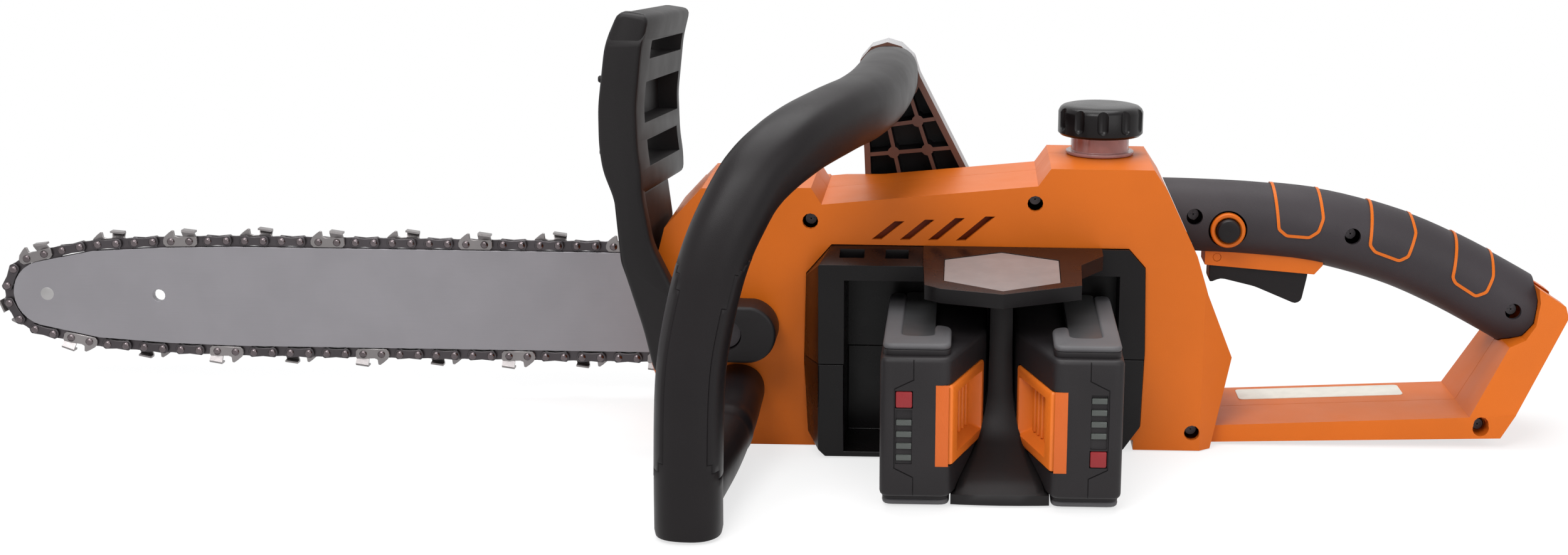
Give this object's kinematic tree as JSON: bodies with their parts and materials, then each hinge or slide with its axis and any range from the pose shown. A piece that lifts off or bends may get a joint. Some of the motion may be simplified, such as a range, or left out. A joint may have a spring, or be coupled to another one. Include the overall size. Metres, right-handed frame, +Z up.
{
  "type": "battery chainsaw",
  "caption": "Battery chainsaw with guide bar and chain, wrap handle, hand guard, rear grip with trigger, oil filler and two sliding battery packs in a side dock.",
  "frame": {"origin": "on the ground under the drive axis, on the parting plane of the housing, at the flat underside of the motor body", "axes": "+Z up, -X along the guide bar towards its nose, +Y towards the sprocket cover side"},
  "size_m": [0.803, 0.2555, 0.2125],
  "materials": {
    "orange": "satin moulded plastic",
    "black": "fine textured moulded plastic",
    "dark": "soft moulded plastic",
    "latch": "satin moulded plastic",
    "red": "satin moulded plastic",
    "neck": "translucent plastic",
    "tank": "milky plastic",
    "steel": "brushed",
    "chain_steel": "oiled",
    "winding": "enamelled wire and lamination",
    "board": "circuit board",
    "label": "bare label",
    "rubber": "rubber"
  },
  "bodies": {
    "saw": {"housing_left": "orange", "housing_right": "orange", "grip_left": "dark", "grip_right": "dark", "trigger_bezel": "orange", "trigger_pin": "steel", "lock_collar": "orange", "trigger_switch": "black", "dock_upper": "black", "dock_lower": "black", "label_plate": "label", "contacts_left": "black", "contacts_right": "black", "oil_tank": "tank", "filler_neck": "neck", "front_handle": "black", "handle_bracket": "black", "guard_screw": "steel", "guide_bar": "steel", "chain": "chain_steel", "bar_stud_1": "steel", "bar_stud_2": "steel", "sprocket_cover": "black", "motor_stator": "winding", "motor_bearing_inner": "steel", "motor_bearing_outer": "steel", "spindle_bearing": "steel", "brake_band": "steel", "brake_spring": "steel", "oil_pump": "steel", "oil_hose": "rubber", "oil_filter": "steel", "control_board": "board"},
    "trigger": {"trigger": "black"},
    "lock_button": {"lock_button": "black"},
    "cap": {"oil_cap": "black", "cap_seal": "rubber"},
    "guard": {"hand_guard": "black"},
    "spindle": {"spindle": "steel", "drive_gear": "steel", "drive_sprocket": "steel", "brake_drum": "steel"},
    "rotor": {"motor_rotor": "steel", "pinion": "steel", "fan": "black"},
    "nose": {"nose_sprocket": "steel"},
    "nut_1": {"bar_nut_1": "steel"},
    "nut_2": {"bar_nut_2": "steel"},
    "tension_screw": {"tension_screw": "steel"},
    "tension_pin": {"tension_pin": "steel"},
    "pack_left": {"pack_left_case": "dark"},
    "latch_left": {"pack_left_latch": "latch"},
    "button_left": {"pack_left_button": "red"},
    "pack_right": {"pack_right_case": "dark"},
    "latch_right": {"pack_right_latch": "latch"},
    "button_right": {"pack_right_button": "red"}
  },
  "joints": [
    {"name": "trigger_pull", "type": "hinge", "parent": "saw", "child": "trigger", "pos_m": [0.1875, 0, 0.089], "axis": [0, -1, 0], "range_deg": [0, 6], "stiffness_Nm_per_rad": 0.6, "springref_deg": -14.32},
    {"name": "lock_off_press", "type": "slide", "parent": "saw", "child": "lock_button", "axis": [0, 1, 0], "range_m": [0, 0.004], "stiffness_N_per_m": 300, "springref_m": -0.002},
    {"name": "oil_cap_lift", "type": "slide", "parent": "saw", "child": "cap", "axis": [0, 0, 1], "range_m": [0, 0.06]},
    {"name": "guard_brake", "type": "hinge", "parent": "saw", "child": "guard", "pos_m": [-0.05, 0, 0.06], "axis": [0, -1, 0], "range_deg": [0, 16]},
    {"name": "spindle_spin", "type": "hinge", "parent": "saw", "child": "spindle", "pos_m": [0, 0, 0.05], "axis": [0, 1, 0], "continuous": true},
    {"name": "rotor_spin", "type": "hinge", "parent": "saw", "child": "rotor", "pos_m": [0.045, 0, 0.05], "axis": [0, 1, 0], "continuous": true},
    {"name": "nose_spin", "type": "hinge", "parent": "saw", "child": "nose", "pos_m": [-0.41342, 0, 0.05], "axis": [0, 1, 0], "continuous": true},
    {"name": "bar_nut_1_turn", "type": "hinge", "parent": "saw", "child": "nut_1", "pos_m": [-0.043, 0, 0.05], "axis": [0, 1, 0], "continuous": true},
    {"name": "bar_nut_2_turn", "type": "hinge", "parent": "saw", "child": "nut_2", "pos_m": [-0.065, 0, 0.05], "axis": [0, 1, 0], "continuous": true},
    {"name": "tension_screw_turn", "type": "hinge", "parent": "saw", "child": "tension_screw", "pos_m": [-0.07, 0.025, 0.036], "axis": [1, 0, 0], "range_deg": [0, 720]},
    {"name": "tension_pin_travel", "type": "slide", "parent": "saw", "child": "tension_pin", "axis": [-1, 0, 0], "range_m": [0, 0.0016]},
    {"name": "pack_left_slide", "type": "slide", "parent": "saw", "child": "pack_left", "axis": [0, -1, 0], "range_m": [0, 0.09]},
    {"name": "latch_left_press", "type": "slide", "parent": "pack_left", "child": "latch_left", "axis": [-0.9554, 0.2953, 0], "range_m": [0, 0.003], "stiffness_N_per_m": 500, "springref_m": -0.002},
    {"name": "button_left_press", "type": "slide", "parent": "pack_left", "child": "button_left", "axis": [0, 1, 0], "range_m": [0, 0.0012], "stiffness_N_per_m": 200, "springref_m": -0.002},
    {"name": "pack_right_slide", "type": "slide", "parent": "saw", "child": "pack_right", "axis": [0, -1, 0], "range_m": [0, 0.09]},
    {"name": "latch_right_press", "type": "slide", "parent": "pack_right", "child": "latch_right", "axis": [0.9554, 0.2953, 0], "range_m": [0, 0.003], "stiffness_N_per_m": 500, "springref_m": -0.002},
    {"name": "button_right_press", "type": "slide", "parent": "pack_right", "child": "button_right", "axis": [0, 1, 0], "range_m": [0, 0.0012], "stiffness_N_per_m": 200, "springref_m": -0.002}
  ],
  "couplings": [
    {"joint": "rotor_spin", "follows": "spindle_spin", "ratio": -4},
    {"joint": "nose_spin", "follows": "spindle_spin", "ratio": 0.66667}
  ]
}
